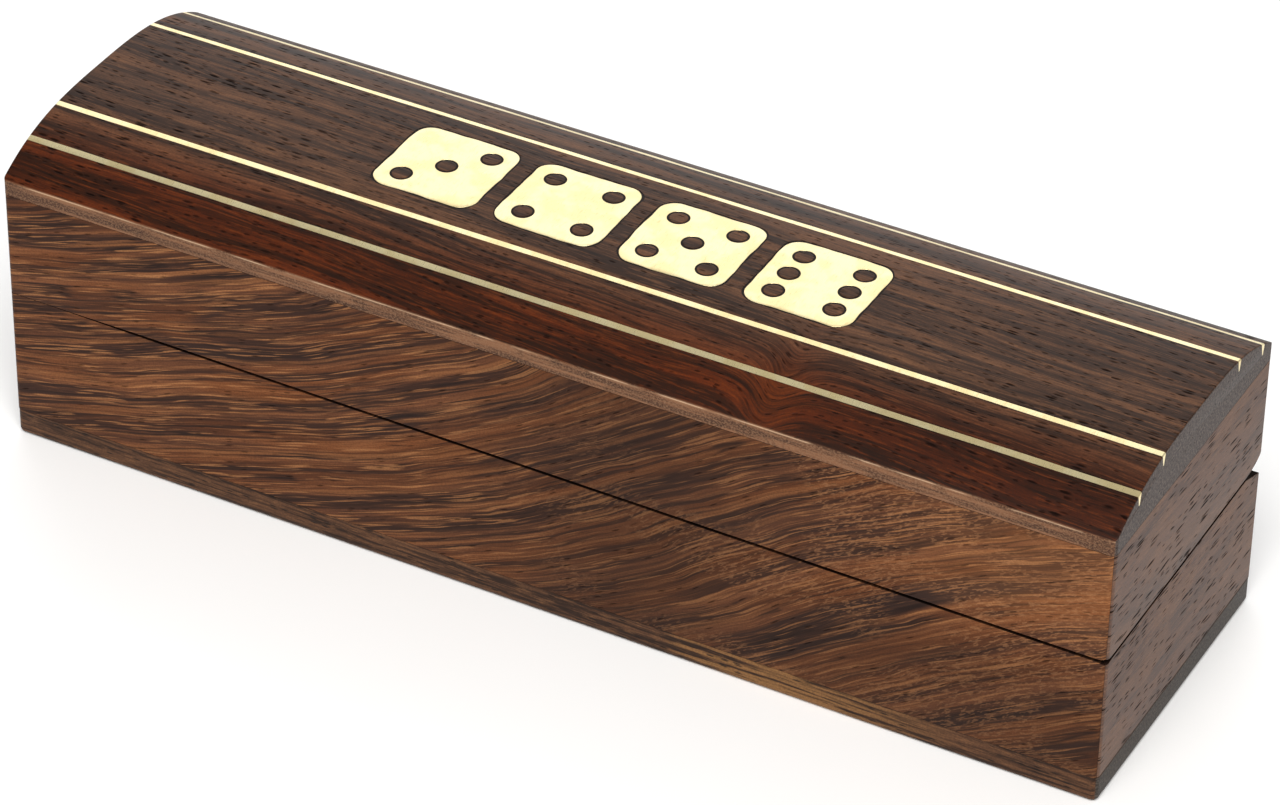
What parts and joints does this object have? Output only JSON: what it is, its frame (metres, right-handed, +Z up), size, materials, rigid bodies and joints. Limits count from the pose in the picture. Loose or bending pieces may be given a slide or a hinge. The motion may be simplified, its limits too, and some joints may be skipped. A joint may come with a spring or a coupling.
{
  "type": "hinged dice box",
  "caption": "Long hardwood dice box with an arched hinged lid, brass line inlay, inlaid brass die faces and butt hinges at the back.",
  "frame": {"origin": "middle of the box's underside", "axes": "+X along the box, -Y towards the front, +Z up"},
  "size_m": [0.152, 0.0456, 0.0435],
  "materials": {
    "side_wood": "polished rosewood, brown with dark figure",
    "lid_wood": "polished dark rosewood",
    "inlay_brass": "sanded flush and polished, fine cross scratches",
    "hinge_brass": "polished"
  },
  "bodies": {
    "base": {"base_floor": "side_wood", "base_front": "side_wood", "base_right": "side_wood", "base_back": "side_wood", "base_left": "side_wood", "hinge_left_base_leaf": "hinge_brass", "hinge_left_pin": "hinge_brass", "hinge_left_base_screw_1": "hinge_brass", "hinge_left_base_screw_2": "hinge_brass", "hinge_right_base_leaf": "hinge_brass", "hinge_right_pin": "hinge_brass", "hinge_right_base_screw_1": "hinge_brass", "hinge_right_base_screw_2": "hinge_brass"},
    "lid": {"lid_front": "side_wood", "lid_right": "side_wood", "lid_back": "side_wood", "lid_left": "side_wood", "lid_top": "lid_wood", "brass_strip_front_low": "inlay_brass", "brass_strip_front_high": "inlay_brass", "brass_strip_back_low": "inlay_brass", "brass_strip_back_high": "inlay_brass", "brass_die_face_three": "inlay_brass", "brass_die_face_four": "inlay_brass", "brass_die_face_five": "inlay_brass", "brass_die_face_six": "inlay_brass", "hinge_left_lid_leaf": "hinge_brass", "hinge_left_lid_screw_1": "hinge_brass", "hinge_left_lid_screw_2": "hinge_brass", "hinge_right_lid_leaf": "hinge_brass", "hinge_right_lid_screw_1": "hinge_brass", "hinge_right_lid_screw_2": "hinge_brass"}
  },
  "joints": [
    {"name": "lid_hinge", "type": "hinge", "parent": "base", "child": "lid", "pos_m": [0, 0.0214, 0.0214], "axis": [-1, 0, 0], "range_deg": [0, 110]}
  ]
}
